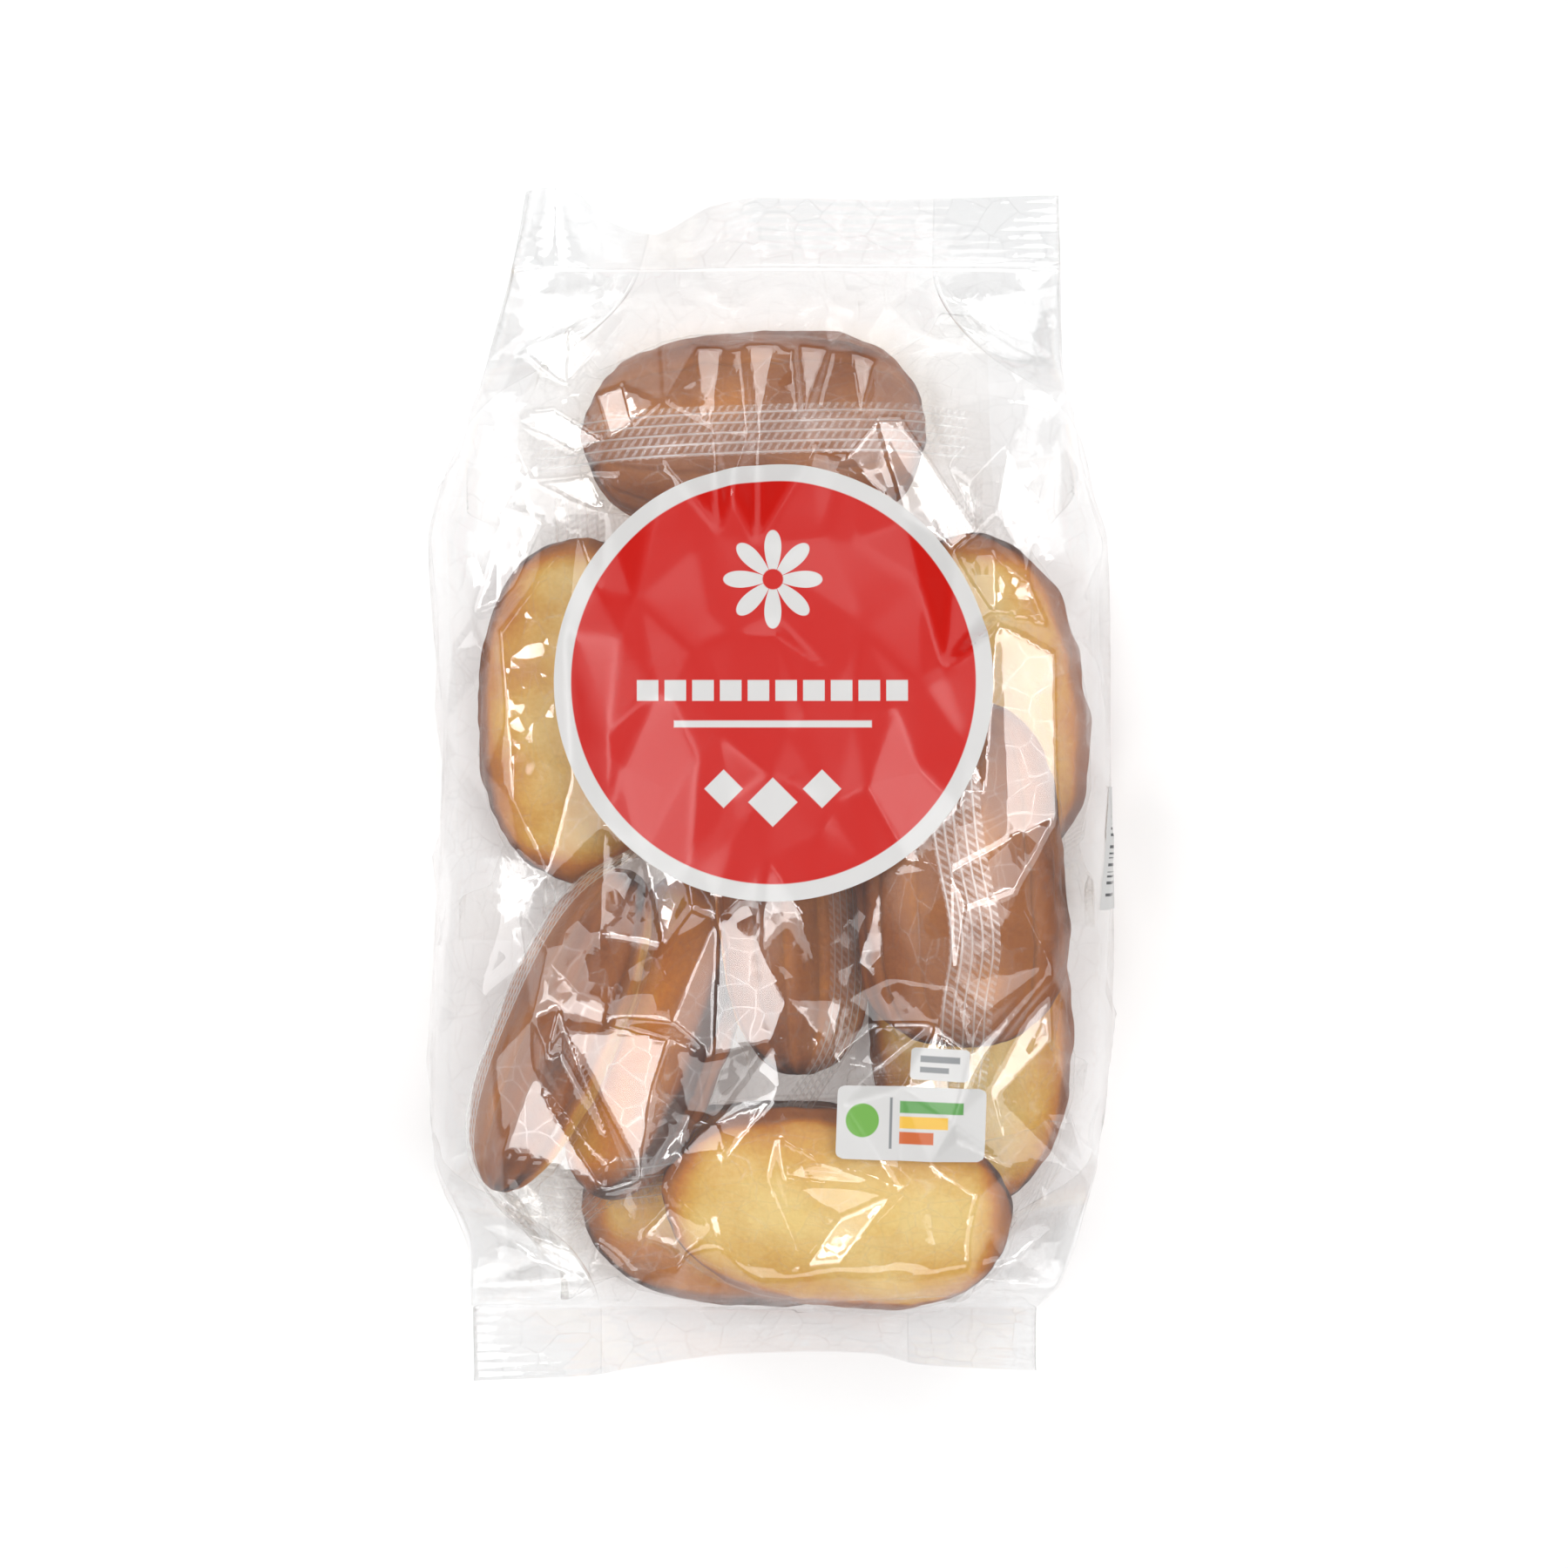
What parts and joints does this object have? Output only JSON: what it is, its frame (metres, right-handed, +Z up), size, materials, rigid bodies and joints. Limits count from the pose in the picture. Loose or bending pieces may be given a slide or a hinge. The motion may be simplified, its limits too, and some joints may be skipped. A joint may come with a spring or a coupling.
{
  "type": "bag of wrapped madeleine cakes",
  "caption": "Clear sealed film bag of individually wrapped madeleine cakes, lying on its back with its plain printed labels up.",
  "frame": {"origin": "centre of the bag's box, at the level it rests on", "axes": "+Z up from the back of the bag to its labelled front, +Y along the bag towards its top seal, +X to the right of the front"},
  "size_m": [0.1592, 0.2764, 0.0564],
  "materials": {
    "bag_film": "clear glossy film, creased",
    "red_print": "red print with a white ring, under gloss",
    "white_print": "white print with small colour fields",
    "wrapper_film": "thin clear wrapper with crimped seals",
    "cake": "baked sponge, golden crown and browned ribbed base"
  },
  "bodies": {
    "root": {"bag": "bag_film", "round_label": "red_print", "info_label": "white_print", "count_label": "white_print", "side_label": "white_print"}
  },
  "joints": []
}
